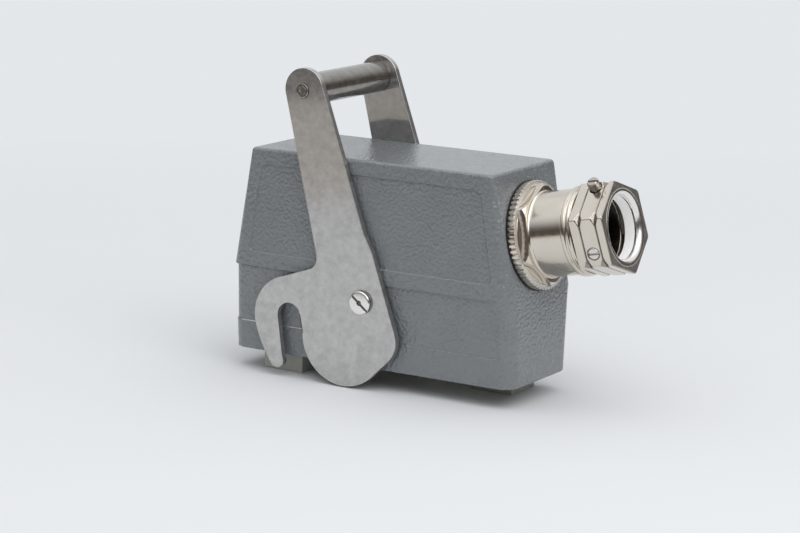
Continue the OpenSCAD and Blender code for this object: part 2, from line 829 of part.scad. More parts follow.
// End nut with a wide bevelled mouth
module end_nut() {
    bevel = 1.3;
    color("silver")
    on_gland(nut_s)
        difference() {
            rotate([0, 0, clamp_turn]) hex_bar(clamp_af, nut_l, clamp_chamfer, 0.6);
            translate([0, 0, -past]) cylinder(d = bore_d - 0.4, h = nut_l + 2 * past);
            translate([0, 0, nut_l - bevel])
                cylinder(d1 = bore_d - 0.4, d2 = bore_d - 0.4 + 2 * bevel, h = bevel);
        }
}

module cable_seal() {
    color("black")
    on_gland(seal_s)
        difference() {
            cylinder(d = bore_d - 2 * fit, h = seal_l);
            translate([0, 0, -past]) cylinder(d = cable_d, h = seal_l + 2 * past);
            translate([0, 0, seal_l - seal_mouth])
                cylinder(d1 = cable_d, d2 = bore_d - 2 * washer_lip, h = seal_mouth);
        }
}

module seal_washer() {
    color("silver")
    on_gland(seal_s + seal_l)
        difference() {
            cylinder(d = bore_d - 2 * fit, h = washer_h);
            translate([0, 0, -past]) cylinder(d = bore_d - 2 * washer_lip, h = washer_h + 2 * past);
        }
}

// ---- Parts ----

hood_shell();
insert_body();
insert_rear_plate();
insert_screws();
earth_terminals();
earth_screws();
lever_plate_near();
lever_plate_far();
handle_bar();
handle_rivet();
pivot_screws();
pivot_washers();
gland_gasket();
knurled_ring();
gland_body();
gland_locknut();
gland_collar();
clamp_hex();
clamp_band();
clamp_jaws();
clamp_screw_top();
clamp_screw_side();
end_nut();
cable_seal();
seal_washer();
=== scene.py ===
# %% [markdown]
# # Dressing a connector hood
# The part is the side-entry hood of a heavy duty rectangular connector: a painted die casting with a lever
# of sheet steel, a nickel-plated cable gland and a plastic contact insert. The CAD model gives every piece
# its place and size. This lesson gives the pieces their worn edges and their finishes, and lights them on a
# pale table. The camera, the table and the lamps are in metres, as Blender is; the sizes of pieces are in
# millimetres, and MM turns them into metres. X runs along the hood to the gland, Y across it and Z up, from
# the centre of the rim.

# %% Load the CAD model as the fixed frame
import json
import math
from contextlib import contextmanager
import bpy
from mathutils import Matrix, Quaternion, Vector


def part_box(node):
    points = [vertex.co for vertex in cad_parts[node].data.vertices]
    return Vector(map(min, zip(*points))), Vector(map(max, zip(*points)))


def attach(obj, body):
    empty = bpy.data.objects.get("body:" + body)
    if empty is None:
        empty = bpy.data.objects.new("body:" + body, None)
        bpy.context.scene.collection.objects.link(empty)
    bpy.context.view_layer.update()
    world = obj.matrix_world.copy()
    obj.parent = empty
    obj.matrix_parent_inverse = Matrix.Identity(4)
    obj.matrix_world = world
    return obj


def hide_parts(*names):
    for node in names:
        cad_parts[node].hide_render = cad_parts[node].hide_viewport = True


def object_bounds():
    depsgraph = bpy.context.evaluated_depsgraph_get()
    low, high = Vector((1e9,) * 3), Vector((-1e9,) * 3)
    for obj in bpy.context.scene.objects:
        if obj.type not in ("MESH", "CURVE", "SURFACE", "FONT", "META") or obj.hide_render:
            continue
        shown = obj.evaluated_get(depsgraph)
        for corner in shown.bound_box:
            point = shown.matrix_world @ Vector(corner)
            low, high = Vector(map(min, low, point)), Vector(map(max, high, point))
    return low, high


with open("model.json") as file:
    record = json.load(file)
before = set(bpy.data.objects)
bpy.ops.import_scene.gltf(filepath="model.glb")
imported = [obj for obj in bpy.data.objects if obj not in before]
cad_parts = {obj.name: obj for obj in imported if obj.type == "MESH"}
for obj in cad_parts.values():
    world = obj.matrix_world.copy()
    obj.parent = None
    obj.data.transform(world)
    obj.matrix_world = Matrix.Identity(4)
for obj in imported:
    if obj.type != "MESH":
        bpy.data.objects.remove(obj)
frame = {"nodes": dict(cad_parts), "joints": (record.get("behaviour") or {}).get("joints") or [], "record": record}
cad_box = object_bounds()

MM = 0.001
record = frame["record"]
slot_of = {part["node"]: part["material_slot"] for part in record["subparts"]}
body_of = {node: body for body, nodes in record["behaviour"]["bodies"].items() for node in nodes}
print("CAD nodes:", len(slot_of), "bodies:", sorted(set(body_of.values())))

# %% [markdown]
# ## The camera
# A product picture is taken from some way off with a long lens, so that parallel edges stay nearly
# parallel. The camera could be placed by hand in a viewport, but angles round the hood and a distance are
# easier to read and to change. It is then turned a little about its own axis, because a camera held by hand
# is never level.

# %% Camera
AZIMUTH = math.radians(31.75)
ELEVATION = math.radians(11.36)
ROLL = math.radians(1.06)
DISTANCE = 0.9656
SENSOR, LENS = 36, 118.35
LOOKED_AT = Vector((0, 0, 0.040))
AIMED_AT = Vector((0, 0, 0.0341))


def towards(azimuth, elevation):
    """A direction from the hood; azimuth 0 is straight in front, a quarter turn is the gland's side."""
    level = math.cos(elevation)
    return Vector((math.sin(azimuth) * level, -math.cos(azimuth) * level, math.sin(elevation)))


def set_up(name, data, place, aim):
    """Puts a camera or a lamp at a place and turns it to what it looks at."""
    holder = bpy.data.objects.new(name, data)
    bpy.context.scene.collection.objects.link(holder)
    holder.location = place
    holder.rotation_mode = "QUATERNION"
    holder.rotation_quaternion = (aim - Vector(place)).to_track_quat("-Z", "Y")
    return holder


lens = bpy.data.cameras.new("camera")
lens.sensor_width = SENSOR
lens.lens = LENS
lens.clip_start, lens.clip_end = 0.05, 20
camera = set_up("camera", lens, LOOKED_AT + towards(AZIMUTH, ELEVATION) * DISTANCE, AIMED_AT)
camera.rotation_quaternion = camera.rotation_quaternion @ Quaternion((0, 0, 1), ROLL)
bpy.context.scene.camera = camera
print("camera at", [round(c, 3) for c in camera.location])

# %% [markdown]
# ## The table
# The hood stands on its guide towers on a pale table that curves up into a backdrop, so no horizon shows.
# Two planes would meet in a line, so the sweep is one strip: an edge extruded along the floor, round a wide
# bend and up. The table is small on the camera's left, as a real one is. Metal shows what stands round it:
# near the foot of the lever it mirrors the bright table, and further up the dark room beyond the table's
# edge, which is why the lever darkens towards its eye.

# %% Helpers: work on one object, and open it in edit mode
def only(piece):
    """Selects one object and nothing else, and makes it the active one."""
    bpy.ops.object.select_all(action="DESELECT")
    piece.select_set(True)
    bpy.context.view_layer.objects.active = piece


@contextmanager
def editing(piece, chosen="SELECT"):
    """Opens a piece in edit mode, with all of it selected or none, and closes it again."""
    only(piece)
    bpy.ops.object.mode_set(mode="EDIT")
    bpy.ops.mesh.select_all(action=chosen)
    yield
    bpy.ops.object.mode_set(mode="OBJECT")


def deselect(piece):
    """Leaves nothing of a piece selected, and sets edges as what is selected from here on."""
    with editing(piece, "DESELECT"):
        bpy.ops.mesh.select_mode(type="EDGE")


def take_modifiers(piece):
    """Applies the modifiers of a piece, from the top."""
    only(piece)
    for modifier in list(piece.modifiers):
        bpy.ops.object.modifier_apply(modifier=modifier.name)


# %% Table and backdrop
FLOOR = cad_box[0].z
SWEEP_LEFT, SWEEP_RIGHT, SWEEP_FRONT, SWEEP_BACK = -0.70, 0.55, -0.45, 0.8
BEND, BEND_STEPS, SWEEP_TOP = 0.5, 16, 0.9

bpy.ops.object.select_all(action="DESELECT")
bpy.ops.mesh.primitive_plane_add(size=1, location=(0, 0, FLOOR))
table = bpy.context.object
table.name = "table"
table.scale = (SWEEP_RIGHT - SWEEP_LEFT, SWEEP_BACK - SWEEP_FRONT, 1)
table.location.x = (SWEEP_RIGHT + SWEEP_LEFT) / 2
table.location.y = (SWEEP_BACK + SWEEP_FRONT) / 2
bpy.ops.object.transform_apply(location=True, rotation=True, scale=True)
deselect(table)
for edge in table.data.edges:
    edge.select = all(table.data.vertices[v].co.y > SWEEP_BACK - 0.01 for v in edge.vertices)
bpy.ops.object.mode_set(mode="EDIT")
arc = BEND * math.pi / 2 / BEND_STEPS
for step in range(BEND_STEPS):
    angle = (step + 0.5) / BEND_STEPS * math.pi / 2
    move = (0, arc * math.cos(angle), arc * math.sin(angle))
    bpy.ops.mesh.extrude_region_move(TRANSFORM_OT_translate={"value": move})
bpy.ops.mesh.extrude_region_move(TRANSFORM_OT_translate={"value": (0, 0, SWEEP_TOP)})
bpy.ops.object.mode_set(mode="OBJECT")
only(table)
bpy.ops.object.shade_smooth()
table.rotation_euler.z = AZIMUTH
bpy.ops.object.transform_apply(location=False, rotation=True, scale=False)
print("table at", round(FLOOR / MM, 2), "mm,", len(table.data.vertices), "points")

# %% [markdown]
# ## The lamps
# A studio lights such a part with large soft boxes: one nearly overhead, and one on the gland's side that
# gives the turned metal its bright stripe. A small lamp would make hard shadows and white dots on the coat,
# so both are wide rectangles.

# %% Lamps
LAMP_AWAY = 1.5


def soft_box(name, azimuth, elevation, size, watts):
    """A rectangular lamp that faces the hood, placed by its angles in degrees."""
    lamp = bpy.data.lights.new(name, "AREA")
    lamp.shape = "RECTANGLE"
    lamp.size, lamp.size_y = size
    lamp.energy = watts
    place = LOOKED_AT + towards(math.radians(azimuth), math.radians(elevation)) * LAMP_AWAY
    holder = set_up(name, lamp, place, LOOKED_AT)
    print(name, "at", [round(c, 2) for c in holder.location])


soft_box("lamp_above", 50, 82, (1.7, 1.5), 6.0)
soft_box("lamp_right", 64, 40, (1.0, 0.9), 5.5)

# %% [markdown]
# ## The room
# A room is dark at the height of the eye, where its walls and furniture stand, and bright towards its
# ceiling. An even grey world would leave the metal flat. A smooth rise from a dark, warm horizon to a pale
# ceiling gives each turned part its dark band, soft above and sharp below where the table begins.

# %% Room
HORIZON, CEILING = (0.085, 0.076, 0.07, 1), (0.88, 0.90, 0.93, 1)
DARK_UP_TO, BRIGHT_FROM = 0.14, 0.66                  # heights on a ball round the hood, from 0 to 1

world = bpy.data.worlds.new("room")
bpy.context.scene.world = world
world.use_nodes = True
nodes, links = world.node_tree.nodes, world.node_tree.links
split = nodes.new("ShaderNodeSeparateXYZ")
links.new(nodes.new("ShaderNodeTexCoord").outputs["Generated"], split.inputs[0])
rise = nodes.new("ShaderNodeMapRange")
rise.interpolation_type = "SMOOTHSTEP"
rise.inputs["From Min"].default_value = DARK_UP_TO
rise.inputs["From Max"].default_value = BRIGHT_FROM
links.new(split.outputs["Z"], rise.inputs["Value"])
shade = nodes.new("ShaderNodeMix")
shade.data_type = "RGBA"
links.new(rise.outputs["Result"], shade.inputs[0])
shade.inputs[6].default_value = HORIZON
shade.inputs[7].default_value = CEILING
links.new(shade.outputs[2], nodes["Background"].inputs["Color"])
nodes["Background"].inputs["Strength"].default_value = 1.0
bpy.context.scene.view_settings.view_transform = "Standard"
print("room:", len(nodes), "nodes")

# %% [markdown]
# ## Finishes
# Each finish is a small node tree. Trees could be wired socket by socket, but that hides what they do. Here
# a helper makes the tree and others add one node each, so that a finish reads as a short list of what
# happens to its surface: colour, then roughness, then relief.

# %% Helpers for finishes
class Finish:
    """A material with a Principled shader, and short ways to add nodes to it."""

    def __init__(self, name, colour, roughness, metallic=0.0, specular=0.5):
        self.material = bpy.data.materials.new(name)
        self.material.use_nodes = True
        self.nodes = self.material.node_tree.nodes
        self.links = self.material.node_tree.links
        self.shader = self.nodes["Principled BSDF"]
        self.shader.inputs["Base Color"].default_value = (*colour, 1)
        self.shader.inputs["Roughness"].default_value = roughness
        self.shader.inputs["Metallic"].default_value = metallic
        self.shader.inputs["Specular IOR Level"].default_value = specular
        self.place = self.nodes.new("ShaderNodeTexCoord").outputs["Object"]

    def join(self, value, socket):
        """Links a socket to another, or sets it to a number or a colour."""
        if isinstance(value, bpy.types.NodeSocket):
            self.links.new(value, socket)
        elif socket.type == "RGBA":
            socket.default_value = (*value, 1)
        else:
            socket.default_value = value

    def put(self, kind, settings=None, **inputs):
        """Adds a node; an input's name has _ where the socket's name has a space."""
        node = self.nodes.new("ShaderNode" + kind)
        for key, value in (settings or {}).items():
            setattr(node, key, value)
        for key, value in inputs.items():
            self.join(value, node.inputs[key.replace("_", " ")])
        return node

    def put_in_order(self, kind, settings, *inputs):
        """Adds a node whose sockets are given by their numbers, because their names are not unique."""
        node = self.put(kind, settings)
        for number, value in inputs:
            self.join(value, node.inputs[number])
        return node

    def noise(self, scale, detail=2.0, roughness=0.5, place=None):
        """Noise in the object's own metres, so scale is bumps to the metre."""
        return self.put("TexNoise", Vector=place or self.place, Scale=scale, Detail=detail,
                        Roughness=roughness).outputs["Fac"]

    def stretched(self, turn, stretch):
        """The object's coordinates, turned and then squeezed along each axis."""
        turned = self.put("Mapping", Vector=self.place, Rotation=turn).outputs["Vector"]
        return self.put("Mapping", Vector=turned, Scale=stretch).outputs["Vector"]

    def span(self, value, low, high, out_low=0.0, out_high=1.0):
        """Maps a range of values onto another, clamped."""
        return self.put("MapRange", Value=value, From_Min=low, From_Max=high,
                        To_Min=out_low, To_Max=out_high).outputs["Result"]

    def blend(self, factor, first, second):
        """Mixes two colours; each is a colour or a socket."""
        node = self.put_in_order("Mix", {"data_type": "RGBA"}, (0, factor), (6, first), (7, second))
        return node.outputs[2]

    def calculate(self, operation, first, second):
        """Puts two sockets through a sum, such as ADD or MULTIPLY."""
        node = self.put_in_order("Math", {"operation": operation}, (0, first), (1, second))
        return node.outputs[0]

    def relief(self, height, strength, depth, under=None):
        """Bump from a height; depth is in millimetres. It can lie on another relief."""
        node = self.put("Bump", Height=height, Strength=strength, Distance=depth * MM)
        if under is not None:
            self.links.new(under, node.inputs["Normal"])
        return node.outputs["Normal"]

    def feed(self, socket, value):
        """Lets a node drive one of the shader's sockets."""
        self.links.new(value, self.shader.inputs[socket])


def darker(colour, share):
    """A colour times a share; a share over 1 makes it lighter."""
    return tuple(channel * share for channel in colour)


finishes = {}

# %% [markdown]
# ## Powder coat
# The casting is sprayed with powder and baked, which leaves a glossy skin over fine pebbles. The pebbles
# could be displaced geometry, but they are about a millimetre wide and there are thousands of them, so a
# noise bends the light instead. Two slower noises vary the grey and the gloss, because no coat is even.

# %% Powder coat on the casting
COAT_GREY, COAT_SHADE = (0.207, 0.222, 0.231), (0.194, 0.209, 0.218)


def powder_coat(name):
    """Grey textured powder coat: a glossy skin over fine pebbles."""
    coat = Finish(name, COAT_GREY, 0.16, specular=0.9)
    coat.feed("Base Color", coat.blend(coat.span(coat.noise(60, 3), 0.35, 0.65), COAT_SHADE, COAT_GREY))
    coat.feed("Roughness", coat.span(coat.noise(300, 3), 0.3, 0.7, 0.13, 0.19))
    coat.feed("Normal", coat.relief(coat.noise(850, 1, 0.4), strength=1.0, depth=0.5))
    return coat.material


finishes["powder_coat"] = powder_coat("powder_coat")
print("powder coat:", len(finishes["powder_coat"].node_tree.nodes), "nodes")

# %% [markdown]
# ## Steel
# The lever's plates are stamped from stainless sheet and tumbled with stones, which leaves a clear
# reflection over a soft sheen, with clouds, short marks and dark specks. One roughness can't show both a
# clear and a soft reflection, so a rough metal lies under a thin smooth coat, and the coat's index sets how
# clear the mirror is. Other tones of the same recipe serve the lever's dull bars, the painted highlight on
# the band's edge, the dirt and painted shade in a screw's hole and slot with the painted dark reflection on
# its head's side, and the rough face of a nut that was cut off its bar.

# %% Tumbled steel
def tumbled_steel(name, colour, roughness, mirror):
    """Stainless steel from a tumbling drum; mirror is the index of its clear reflection."""
    steel = Finish(name, colour, roughness, metallic=1.0)
    for socket, value in (("Coat Weight", 1.0), ("Coat Roughness", 0.07), ("Coat IOR", mirror)):
        steel.shader.inputs[socket].default_value = value
    cloud = steel.span(steel.noise(330, 5, 0.65), 0.35, 0.65)
    tone = steel.blend(cloud, darker(colour, 0.74), darker(colour, 1.16))
    specks = steel.span(steel.noise(800, 2, 0.5), 0.64, 0.72, 0.0, 0.45)
    steel.feed("Base Color", steel.blend(specks, tone, darker(colour, 0.45)))
    scuffs = steel.noise(260, 4, 0.7)
    steel.feed("Roughness", steel.span(scuffs, 0.3, 0.7, roughness - 0.06, roughness + 0.08))
    normal = None
    for turn in (0.3, 1.2, 2.2):
        marks = steel.noise(1.0, 3, 0.6, steel.stretched((0, turn, 0), (160, 900, 1600)))
        normal = steel.relief(marks, strength=0.12, depth=0.04, under=normal)
    steel.feed("Normal", normal)
    return steel.material


for name, colour, roughness, mirror in (
        ("lever_steel", (0.42, 0.405, 0.385), 0.42, 3.2),
        ("bar_steel", (0.245, 0.222, 0.188), 0.38, 2.0),
        # the painted highlight on the band's edge: bright metal on the coat
        ("painted_band_highlight", (0.75, 0.77, 0.78), 0.35, 2.0),
        # dirt with painted shade in a screw's hole and slot, and a painted dark reflection on its head's side
        ("dirt_and_painted_shade", (0.16, 0.145, 0.13), 0.45, 2.0),
        ("faced_nickel", (0.36, 0.335, 0.31), 0.50, 2.0)):
    finishes[name] = tumbled_steel(name, colour, roughness, mirror)
    print(name, "colour", colour, "roughness", roughness)

# %% [markdown]
# ## Nickel
# The gland's parts are turned from brass and plated with nickel: bright and a little yellow, with faint
# rings from the lathe. The rings run round the gland's leaning axis, so the noise is turned by that lean
# and squeezed along it, which draws thin bands instead of dots. Screws and faces that are less bright use
# the same recipe with a darker colour.

# %% Turned nickel
END_LEAN = math.radians(11.3)                         # the gland stands square to the leaning end wall


def turned_nickel(name, colour, roughness):
    """Nickel plate on turned brass: bright, with faint rings from the lathe and small marks."""
    nickel = Finish(name, colour, roughness, metallic=1.0)
    cloud = nickel.span(nickel.noise(120, 3), 0.3, 0.7)
    nickel.feed("Base Color", nickel.blend(cloud, darker(colour, 0.92), colour))
    scuffs = nickel.noise(500, 4, 0.7)
    nickel.feed("Roughness", nickel.span(scuffs, 0.35, 0.7, roughness, roughness + 0.08))
    marks = nickel.relief(nickel.noise(300, 2), strength=0.03, depth=0.05)
    rings = nickel.noise(1.0, 3, 0.6, nickel.stretched((0, END_LEAN, 0), (2600, 25, 25)))
    nickel.feed("Normal", nickel.relief(rings, strength=0.22, depth=0.02, under=marks))
    return nickel.material


for name, colour, roughness in (
        ("nickel_brass", (0.73, 0.67, 0.585), 0.13),
        # painted shade for the grooves, with a rougher gloss
        ("groove_painted_shade", (0.36, 0.33, 0.29), 0.22),
        ("worn_nickel", (0.52, 0.49, 0.45), 0.30),
        ("ring_face", (0.92, 0.90, 0.87), 0.50),
        ("jaw_brass", (0.90, 0.88, 0.84), 0.30),
        ("bright_screw", (0.88, 0.86, 0.84), 0.16),
        ("zinc_screw", (0.76, 0.73, 0.69), 0.16)):
    finishes[name] = turned_nickel(name, colour, roughness)
    print(name, "colour", colour, "roughness", roughness)

# %% [markdown]
# ## Plastic and rubber
# The insert is glass-filled plastic, matt and faintly mottled; the seals are black rubber. Thin white nylon
# in the gland's mouth lets light soak through. Subsurface scattering could show that, but it is slow and
# doesn't travel to other programs, so the nylon has a painted glow instead: it glows a little, though it is no
# lamp.

# %% Moulded plastic and rubber
def moulded_plastic(name, colour, roughness, glow):
    """Glass-filled plastic: matt, faintly mottled, with a fine grain, and a painted glow of the given strength."""
    plastic = Finish(name, colour, roughness)
    mottle = plastic.span(plastic.noise(150, 4, 0.6), 0.3, 0.7)
    plastic.feed("Base Color", plastic.blend(mottle, darker(colour, 0.9), colour))
    plastic.feed("Normal", plastic.relief(plastic.noise(2400, 2), strength=0.2, depth=0.05))
    # painted light: the glow makes the plastic shine though it is no lamp
    plastic.shader.inputs["Emission Color"].default_value = (1.0, 0.99, 0.97, 1.0)
    plastic.shader.inputs["Emission Strength"].default_value = glow
    return plastic.material


for name, colour, roughness, glow in (
        ("insert_plastic", (0.53, 0.53, 0.47), 0.55, 0.0),
        ("insert_dark", (0.06, 0.06, 0.06), 0.55, 0.0),
        ("black_rubber", (0.012, 0.012, 0.012), 0.6, 0.0),
        # white nylon with a painted glow
        ("white_nylon", (0.86, 0.86, 0.87), 0.40, 0.32)):
    finishes[name] = moulded_plastic(name, colour, roughness, glow)
    print(name, "colour", colour, "roughness", roughness)

# %% [markdown]
# ## Card
# The table is covered with pale card. Behind the hood it turns, over half a metre, from card that the lamps
# light to card that glows evenly, so that the backdrop is pale without more light on the hood. Only the
# camera and reflections see that glow. Far out on the left the card is painted darker and warmer, a painted
# pool of dim, warm room light, and the lever's upper arm mirrors it.

# %% Pale card for the table and the backdrop
# the card's painted room light: darker and warmer far out on the left
CARD_PAINTED_ROOM_LIGHT, CARD_GLOW = (0.61, 0.565, 0.51), (0.775, 0.800, 0.825)
ROOM_LIGHT_FROM, ROOM_LIGHT_TO = -0.33, -0.41                     # metres to the camera's right; minus is left
GLOW_FROM, GLOW_FULL = 0.10, 0.55                     # metres behind the hood's centre


def pale_card():
    """The card is lit as it lies on the table, with painted room light far out on the left; up the backdrop it
    glows evenly.
    """
    card = Finish("pale_card", (0.76, 0.77, 0.78), 0.9, specular=0.2)
    turned = card.put("Mapping", Vector=card.place, Rotation=(0, 0, -AZIMUTH)).outputs["Vector"]
    place = card.put("SeparateXYZ", Vector=turned).outputs
    cloud = card.span(card.noise(3, 2), 0.3, 0.7)
    white = card.blend(cloud, (0.755, 0.765, 0.775), (0.765, 0.775, 0.785))
    # painted room light: the card turns darker and warmer towards the left
    room_light_share = card.span(place["X"], ROOM_LIGHT_TO, ROOM_LIGHT_FROM, 1.0, 0.0)
    card.feed("Base Color", card.blend(room_light_share, white, CARD_PAINTED_ROOM_LIGHT))
    ray = card.put("LightPath").outputs
    seen = card.calculate("ADD", ray["Is Camera Ray"], ray["Is Glossy Ray"])
    glowing = card.calculate("MULTIPLY", card.span(place["Y"], GLOW_FROM, GLOW_FULL), seen)
    glow = card.put("Emission", Color=CARD_GLOW, Strength=1.0)
    mix = card.put_in_order("MixShader", {}, (0, glowing), (1, card.shader.outputs[0]), (2, glow.outputs[0]))
    card.links.new(mix.outputs[0], card.nodes["Material Output"].inputs["Surface"])
    return card.material


table.data.materials.append(pale_card())
print("card:", len(table.data.materials[0].node_tree.nodes), "nodes")

# %% [markdown]
# ## Worn edges
# CAD edges are perfectly sharp, and real ones never are: castings have radii, and turned parts have their
# edges broken with a file. A CAD mesh is loose triangles, which a bevel would tear apart. So a copy of each
# piece gets its triangles merged and its flat faces joined, and then a bevel on its sharp edges. The copy
# stands for the CAD node, on the same body. A face with a hole in it needs a cut from the hole to its
# border. Where such cuts may not end in a corner, the copy is first halved by planes through the origin,
# and their seams are kept.

# %% Helpers: copy a CAD node, round its edges, and put it in the node's place
MERGE = 0.002                                         # points closer than this are one, in millimetres
FLAT = math.radians(0.6)                              # faces that lean less than this are one
SHARP = 28                                            # edges that bend by more degrees are rounded
SMOOTH = 35                                           # faces that meet at fewer degrees are shaded as one
stood_for = set()                                     # the CAD nodes that another piece stands for


def clean_copy(node, halves=()):
    """A copy of a CAD node with its loose triangles merged and its flat faces joined."""
    source = frame["nodes"][node]
    piece = source.copy()
    piece.data = source.data.copy()
    piece.name = node + "_rounded"
    piece.parent = None
    for key in list(piece.keys()):
        del piece[key]
    bpy.context.scene.collection.objects.link(piece)
    with editing(piece):
        bpy.ops.mesh.remove_doubles(threshold=MERGE * MM)
        for across in halves:
            bpy.ops.mesh.select_all(action="SELECT")
            bpy.ops.mesh.bisect(plane_co=(0, 0, 0), plane_no=across)
            bpy.ops.mesh.mark_seam()
        bpy.ops.mesh.select_all(action="SELECT")
        bpy.ops.mesh.dissolve_limited(angle_limit=FLAT, delimit={"SEAM"})
    return piece


def round_edges(piece, radius, segments, sharp=SHARP, method="ANGLE"):
    """Rounds the edges of a piece by a radius in millimetres: all sharp ones, or those with a weight."""
    bevel = piece.modifiers.new("rounded_edges", "BEVEL")
    bevel.width = radius * MM
    bevel.segments = segments
    bevel.limit_method = method
    bevel.angle_limit = math.radians(sharp)
    bevel.use_clamp_overlap = False
    bevel.miter_outer = "MITER_SHARP"
    take_modifiers(piece)


def stand_in(piece, node, note):
    """Shades a finished copy, gives it its material and puts it in the place of its CAD node."""
    only(piece)
    bpy.ops.object.shade_smooth_by_angle(angle=math.radians(SMOOTH))
    flats = piece.modifiers.new("flat_faces_stay_flat", "WEIGHTED_NORMAL")
    flats.keep_sharp = True
    flats.weight = 100
    take_modifiers(piece)
    piece.data.materials.clear()
    piece.data.materials.append(finishes[slot_of[node]])
    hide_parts(node)
    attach(piece, body_of[node])
    stood_for.add(node)
    print(node, note, len(piece.data.polygons), "faces")


# %% Round the turned, milled and moulded pieces
EDGE_RADII = {
    "insert_body": 0.3,
    "gland_body": 0.25,
    "gland_collar": 0.15,
    "clamp_hex": 0.4,
    "clamp_band": 0.4,
    "end_nut": 0.4,
    "knurled_ring": 0.1,
    "clamp_screw_top": 0.12,
    "clamp_screw_side": 0.12,
    "handle_bar": 0.2,
}
worn = {}
for node, radius in EDGE_RADII.items():
    worn[node] = clean_copy(node)
    round_edges(worn[node], radius, 2)
    stand_in(worn[node], node, "rounded by %.2f mm," % radius)

# %% [markdown]
# ## The casting's edges
# A die casting is never sharp: its top edge is well rounded so that the die lets it go, the corners of the
# sunk panels are round because a cutter made them in the die, and the coat then fills every small step. One
# radius for all would melt the small steps away, so each line of edges is picked by its place and gets its
# own: first the large radii, then narrow flats along the panels, which catch the light as thin lines, and
# along the rim's band, whose light line is a painted highlight, and last the step and the rim. Where step and
# band fade into the corners by the gland, their points crowd together, and a bevel would fold over itself
# there, so those points are merged first.

# %% Helpers: round lines of edges, each by its own radius
def weigh_edges(piece, weight, wanted):
    """Gives a bevel weight to the sharp edges whose ends, in millimetres, pass a test; returns how many."""
    with editing(piece, "DESELECT"):
        bpy.ops.mesh.select_mode(type="EDGE")
        bpy.ops.mesh.edges_select_sharp(sharpness=math.radians(SHARP))
    weights = piece.data.attributes.get("bevel_weight_edge") or piece.data.attributes.new(
        "bevel_weight_edge", "FLOAT", "EDGE")
    count = 0
    for edge in piece.data.edges:
        if edge.select and wanted(*[piece.data.vertices[v].co / MM for v in edge.vertices]):
            weights.data[edge.index].value = weight
            count += 1
    return count


def round_lines(piece, segments, *lines):
    """Rounds lines of edges, each given as its radius in millimetres and a test; returns how many edges."""
    widest = max(radius for radius, wanted in lines)
    counts = [weigh_edges(piece, radius / widest, wanted) for radius, wanted in lines]
    round_edges(piece, widest, segments, method="WEIGHT")
    piece.data.attributes.remove(piece.data.attributes["bevel_weight_edge"])
    return counts


def level_at(height, *ends):
    """All the points lie at a height, give or take the CAD mesh's own error."""
    return all(abs(end.z - height) < 0.05 for end in ends)


def aside(a, b):
    """How far an edge keeps from the hood's middle plane."""
    return min(abs(a.y), abs(b.y))


# %% Merge the thin ends of the step and the band
TOP, STEP, BAND = 76.4, 31.8, 10.9                    # heights of the top, the step and the band's edge
END, SIDE = 60.0, 22.0                                # half the length and half the width at the rim
CROWDED = 0.5                                         # fading points closer than this are merged


def fades(at):
    """A point where the step or the band fades into a corner by the gland."""
    by_step = level_at(STEP, at) and at.x > END - 5.5 and abs(at.y) > SIDE - 5
    by_band = level_at(BAND, at) and END - 6 < at.x < END - 4.4 and abs(at.y) > SIDE - 0.3
    return by_step or by_band


hood = clean_copy("hood_shell", halves=((1, 0, 0), (0, 1, 0)))
points_before = len(hood.data.vertices)
deselect(hood)
for point in hood.data.vertices:
    point.select = fades(point.co / MM)
bpy.ops.object.mode_set(mode="EDIT")
bpy.ops.mesh.remove_doubles(threshold=CROWDED * MM)
bpy.ops.object.mode_set(mode="OBJECT")
print("points merged:", points_before - len(hood.data.vertices))

# %% Round the hood's edges
def by_panel(a, b):
    """An edge lies between the step and the top, clear of both."""
    return min(a.z, b.z) > STEP + 2 and max(a.z, b.z) < TOP - 2


def top_edge(a, b):
    """An edge round the flat top."""
    return min(a.z, b.z) > TOP - 0.1


def panel_corner(a, b):
    """A short edge across the wall of a sunk panel, at one of its corners."""
    return by_panel(a, b) and (a - b).length < 1 and abs(a.y - b.y) > 0.3 and aside(a, b) > SIDE


def panel_rim(a, b):
    """An edge where the side's face drops into a panel."""
    return by_panel(a, b) and aside(a, b) > SIDE + 0.9 and abs(a.y - b.y) < 0.01


def band_edge(a, b):
    """The band's upper edge, up to where it fades."""
    far_end = max(a.x, b.x) < 0.5 - END
    return level_at(BAND, a, b) and max(a.x, b.x) < END - 10 and (aside(a, b) > SIDE - 0.05 or far_end)


def step_edge(a, b):
    """The step's edge, up to where it fades."""
    far_end = max(a.x, b.x) < 10 - END
    return level_at(STEP, a, b) and max(a.x, b.x) < END - 10 and (aside(a, b) > SIDE or far_end)


def rim_edge(a, b):
    """The outer edge of the rim, and not its opening."""
    by_end = min(abs(a.x), abs(b.x)) > END - 2
    return level_at(0, a, b) and (aside(a, b) > SIDE - 2 or by_end)


print("top and panel corners:", round_lines(hood, 4, (1.32, top_edge), (2.2, panel_corner)), "edges")
print("panels and band:", round_lines(hood, 1, (0.43, panel_rim), (0.22, band_edge)), "edges")
print("step and rim:", round_lines(hood, 3, (0.35, step_edge), (0.5, rim_edge)), "edges")
stand_in(hood, "hood_shell", "rounded by 0.22 to 2.2 mm,")

# %% [markdown]
# ## A painted highlight along the band
# The bevel leaves a narrow flat on the band's edge, and the step above it keeps it in shade. A bright metal
# finish on those faces paints the light line that the edge shows. It could be a mask inside the coat's own
# nodes, but the place is exactly that narrow flat, so those faces get a finish of their own.

# %% Paint a highlight on the band's edge
def second_finish(piece, finish, wanted):
    """Refinishes faces whose middle, in millimetres, and normal pass a test; returns how many."""
    piece.data.materials.append(finishes[finish])
    place = len(piece.data.materials) - 1
    picked = [face for face in piece.data.polygons if wanted(face.center / MM, face.normal)]
    for face in picked:
        face.material_index = place
    return len(picked)


def on_band(at, normal):
    """A face of the narrow flat on the band's edge."""
    return abs(at.z - BAND) < 0.3 and normal.z > 0.3 and at.x < END - 5.4


